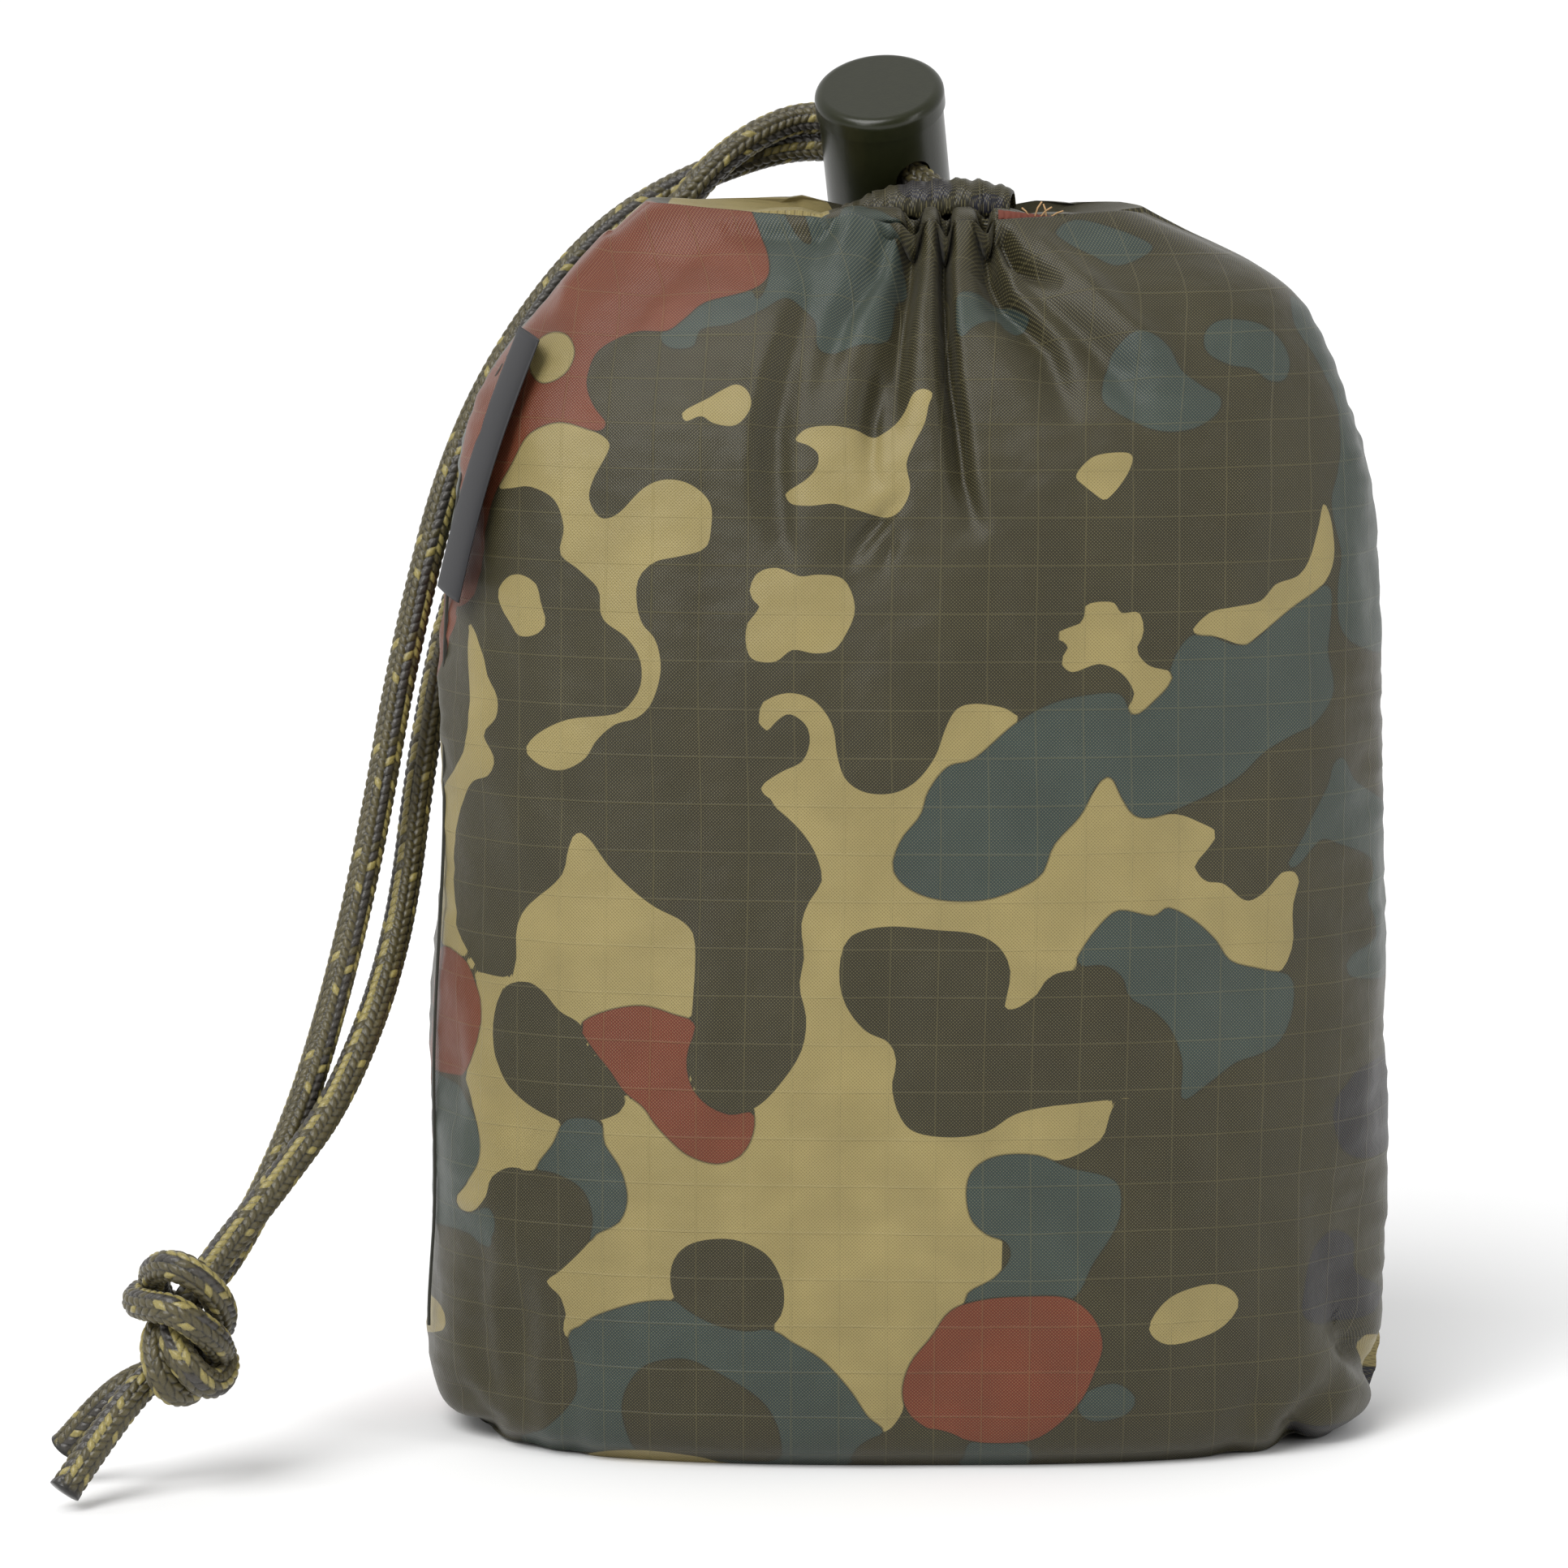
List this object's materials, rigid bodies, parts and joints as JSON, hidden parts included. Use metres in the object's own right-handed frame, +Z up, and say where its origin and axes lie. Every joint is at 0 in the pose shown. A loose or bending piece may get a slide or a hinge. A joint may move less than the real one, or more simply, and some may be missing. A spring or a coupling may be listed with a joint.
{
  "type": "drawstring stuff sack",
  "caption": "Packed ripstop drawstring sack standing on its flat base, with a sprung barrel cord lock and a doubled braided cord ending in a stopper knot.",
  "frame": {"origin": "centre of the sack's footprint on the floor", "axes": "+Z up along the standing sack, front face towards -Y, +X to the viewer's right"},
  "size_m": [0.1763, 0.0894, 0.1825],
  "materials": {
    "fabric": "satin woodland-camouflage ripstop nylon",
    "filling": "folded soft goods",
    "thread": "matte dark olive thread",
    "fray": "frayed raw fabric edge",
    "label": "plain black woven tape",
    "cord": "braided olive cord with light flecks",
    "cord_end": "heat-sealed braid",
    "lock_plastic": "dark olive moulded plastic, satin gloss",
    "spring_steel": "wire"
  },
  "bodies": {
    "sack": {"front_panel": "fabric", "back_panel": "fabric", "packed_filling": "filling", "side_seam_left": "fabric", "side_seam_right": "fabric", "stitching_left": "thread", "stitching_right": "thread", "casing_front": "fabric", "casing_back": "fabric", "casing_roll": "fabric", "hem_fold": "fabric", "frayed_allowance": "fray", "woven_label": "label", "drawstring_loop": "cord", "strand_outer": "cord", "strand_inner": "cord", "stopper_knot": "cord", "tail_front": "cord", "tail_back": "cord", "tip_front": "cord_end", "tip_back": "cord_end"},
    "cord_lock": {"lock_barrel": "lock_plastic", "lock_spring": "spring_steel"},
    "lock_button": {"lock_plunger": "lock_plastic"}
  },
  "joints": [
    {"name": "lock_slide", "type": "slide", "parent": "sack", "child": "cord_lock", "axis": [-0.4702, 0.7782, 0.4163], "range_m": [0, 0.0018]},
    {"name": "plunger_press", "type": "slide", "parent": "cord_lock", "child": "lock_button", "axis": [-0.0925, -0.5125, 0.8537], "range_m": [0, 0.003], "stiffness_N_per_m": 1200, "springref_m": -0.002, "deforming": ["lock_spring"]}
  ]
}
